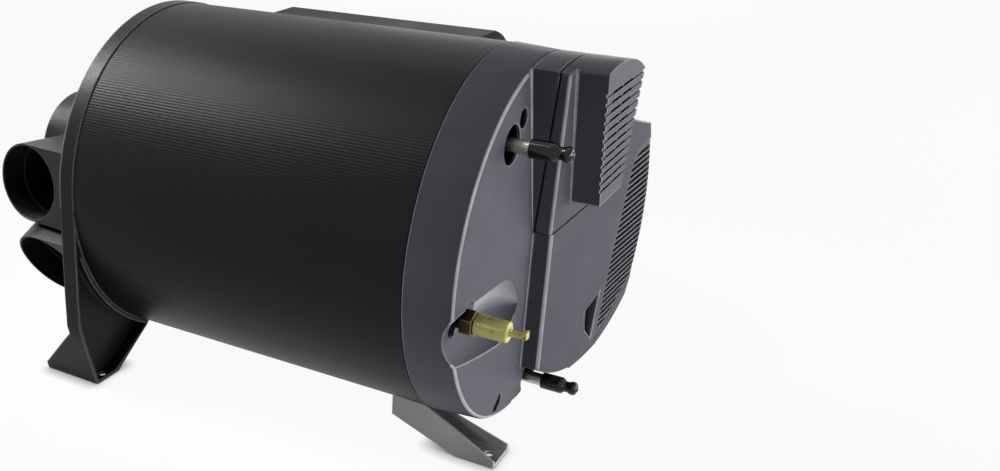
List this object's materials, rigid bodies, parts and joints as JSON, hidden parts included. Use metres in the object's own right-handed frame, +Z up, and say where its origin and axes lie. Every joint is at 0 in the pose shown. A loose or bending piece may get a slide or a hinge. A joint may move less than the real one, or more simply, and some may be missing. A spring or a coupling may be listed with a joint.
{
  "type": "caravan water heater",
  "caption": "Horizontal drum heater for a caravan: ribbed dark jacket, domed rear cap with angled warm-air outlets, grey moulded front covers, capped water and gas connections, side flue box.",
  "frame": {"origin": "middle of the whole heater's box, at the level of the feet's soles", "axes": "+X along the drum towards the covers' end, +Y across towards the flue box, +Z up"},
  "size_m": [0.5086, 0.45, 0.3],
  "materials": {
    "jacket_black": "matte charcoal coat, fine lengthwise ribs",
    "cap_black": "moulded black plastic, light grain",
    "cover_grey": "satin blue-grey moulding",
    "louvre_grey": "satin dark grey moulding",
    "foot_metal": "grey coated steel sheet",
    "cap_gloss": "glossy black soft plastic",
    "cap_yellow": "translucent yellow-green plastic",
    "tube_steel": "drawn stainless tube",
    "fitting_brass": "dull bronze-brown brass",
    "gasket_rubber": "black sealing rubber",
    "tank_steel": "stainless sheet, pickled",
    "foam": "cream insulating foam",
    "cast_alloy": "as-cast aluminium",
    "burner_steel": "heat-tinted stainless",
    "ceramic": "off-white ceramic",
    "screw_zinc": "zinc-plated steel",
    "motor_dark": "dark motor can",
    "plate_zinc": "galvanised sheet",
    "board_green": "green circuit board",
    "copper": "drawn copper pipe",
    "flue_black": "black moulded flue box"
  },
  "bodies": {
    "heater": {"jacket": "jacket_black", "front_gasket": "gasket_rubber", "rear_gasket": "gasket_rubber", "rear_cap": "cap_black", "outlet_upper_near": "cap_black", "outlet_lower_near": "cap_black", "outlet_upper_far": "cap_black", "outlet_lower_far": "cap_black", "rear_foot_near": "cap_black", "rear_foot_far": "cap_black", "front_foot": "foot_metal", "front_cap": "cover_grey", "fan_cover": "cover_grey", "intake_louvre": "louvre_grey", "electronics_cover": "cover_grey", "circuit_board": "board_green", "board_posts": "fitting_brass", "board_parts": "motor_dark", "hot_water_tube": "tube_steel", "cold_water_tube": "tube_steel", "gas_fitting": "fitting_brass", "gas_locknut": "fitting_brass", "gas_valve": "cast_alloy", "gas_pipe": "copper", "water_tank": "tank_steel", "insulation": "foam", "heat_exchanger": "cast_alloy", "combustion_chamber": "burner_steel", "burner_flange": "cast_alloy", "burner_tube": "burner_steel", "igniter": "ceramic", "burner_screws": "screw_zinc", "blower_housing": "cast_alloy", "blower_motor": "motor_dark", "bulkhead": "plate_zinc", "tube_grommets": "gasket_rubber", "water_sensor": "fitting_brass", "overheat_switch": "ceramic", "fan_motor": "motor_dark", "flue_box": "flue_black", "flue_cover": "flue_black", "flue_screws": "screw_zinc", "air_collar": "flue_black", "exhaust_pipe": "tube_steel"},
    "circulation_fan": {"fan_wheel": "motor_dark", "fan_shaft": "screw_zinc"},
    "combustion_fan": {"blower_impeller": "motor_dark", "blower_shaft": "screw_zinc"},
    "hot_cap": {"hot_water_cap": "cap_gloss"},
    "cold_cap": {"cold_water_cap": "cap_gloss"},
    "gas_plug": {"gas_cap": "cap_yellow"}
  },
  "joints": [
    {"name": "circulation_fan_spin", "type": "hinge", "parent": "heater", "child": "circulation_fan", "pos_m": [0.17081, -0.01, 0.1115], "axis": [1, 0, 0], "continuous": true},
    {"name": "combustion_fan_spin", "type": "hinge", "parent": "heater", "child": "combustion_fan", "pos_m": [0.14081, -0.074, 0.1575], "axis": [1, 0, 0], "continuous": true},
    {"name": "hot_cap_pull", "type": "slide", "parent": "heater", "child": "hot_cap", "axis": [1, 0, 0], "range_m": [0, 0.03]},
    {"name": "cold_cap_pull", "type": "slide", "parent": "heater", "child": "cold_cap", "axis": [1, 0, 0], "range_m": [0, 0.03]},
    {"name": "gas_plug_pull", "type": "slide", "parent": "heater", "child": "gas_plug", "axis": [1, 0, 0], "range_m": [0, 0.03]}
  ]
}
